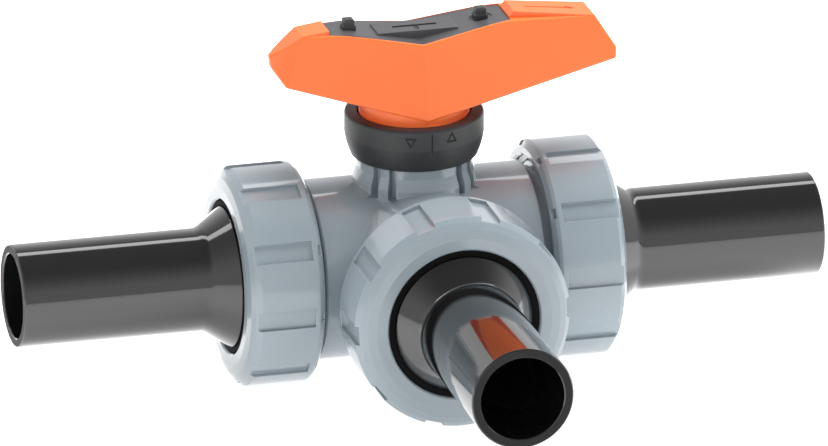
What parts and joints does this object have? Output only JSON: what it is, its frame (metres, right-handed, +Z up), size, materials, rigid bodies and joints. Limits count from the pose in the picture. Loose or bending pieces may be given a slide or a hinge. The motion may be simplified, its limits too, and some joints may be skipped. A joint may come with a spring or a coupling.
{
  "type": "three way ball valve",
  "caption": "Plastic three way ball valve with a turning grip, a locking collar, union nuts and black pipe ends on a T layout.",
  "frame": {"origin": "middle of the foot's mounting face, under the crossing of the pipe axes", "axes": "+X along the run to the right pipe end, -Y towards the branch pipe end, +Z up along the stem"},
  "size_m": [0.2546, 0.1613, 0.1146],
  "materials": {
    "body": "blue-grey moulded rigid plastic, satin to glossy",
    "nut": "blue-grey moulded rigid plastic, satin to glossy",
    "pipe": "black polyethylene, glossy",
    "handle": "orange moulded plastic, satin",
    "collar": "dark grey moulded plastic, matte",
    "key": "mid grey moulded plastic, satin",
    "lug": "dark grey moulded plastic",
    "bush": "grey machined plastic",
    "ball": "grey polished plastic",
    "seat": "white low friction plastic, smooth",
    "elastomer": "black seal rubber",
    "brass": "machined brass"
  },
  "bodies": {
    "valve": {"back_ball_seat": "seat", "back_seat_o_ring": "elastomer", "foot_insert_left": "brass", "foot_insert_right": "brass", "front_ball_seat": "seat", "front_bush_o_ring": "elastomer", "front_face_o_ring": "elastomer", "front_pipe_spigot": "pipe", "front_seat_o_ring": "elastomer", "front_union_bush": "bush", "left_ball_seat": "seat", "left_bush_o_ring": "elastomer", "left_face_o_ring": "elastomer", "left_pipe_spigot": "pipe", "left_seat_o_ring": "elastomer", "left_union_bush": "bush", "right_ball_seat": "seat", "right_bush_o_ring": "elastomer", "right_face_o_ring": "elastomer", "right_pipe_spigot": "pipe", "right_seat_o_ring": "elastomer", "right_union_bush": "bush", "valve_body": "body"},
    "handle": {"handle": "handle", "stem": "ball", "ball": "ball", "lower_stem_o_ring": "elastomer", "upper_stem_o_ring": "elastomer"},
    "lock_collar": {"lock_collar": "collar"},
    "handle_key": {"handle_key": "key", "left_key_lug": "lug", "right_key_lug": "lug"},
    "left_nut": {"left_union_nut": "nut"},
    "right_nut": {"right_union_nut": "nut"},
    "front_nut": {"front_union_nut": "nut"}
  },
  "joints": [
    {"name": "handle_turn", "type": "hinge", "parent": "valve", "child": "handle", "pos_m": [0, 0, 0.081], "axis": [0, 0, 1], "continuous": true},
    {"name": "collar_lock", "type": "slide", "parent": "handle", "child": "lock_collar", "axis": [0, 0, 1], "range_m": [-0.0025, 0]},
    {"name": "key_lift", "type": "slide", "parent": "handle", "child": "handle_key", "axis": [0, 0, 1], "range_m": [0, 0.03]},
    {"name": "left_nut_turn", "type": "hinge", "parent": "valve", "child": "left_nut", "pos_m": [-0.048, 0, 0.031], "axis": [-1, 0, 0], "continuous": true},
    {"name": "right_nut_turn", "type": "hinge", "parent": "valve", "child": "right_nut", "pos_m": [0.048, 0, 0.031], "axis": [1, 0, 0], "continuous": true},
    {"name": "front_nut_turn", "type": "hinge", "parent": "valve", "child": "front_nut", "pos_m": [0, -0.048, 0.031], "axis": [0, -1, 0], "continuous": true}
  ]
}
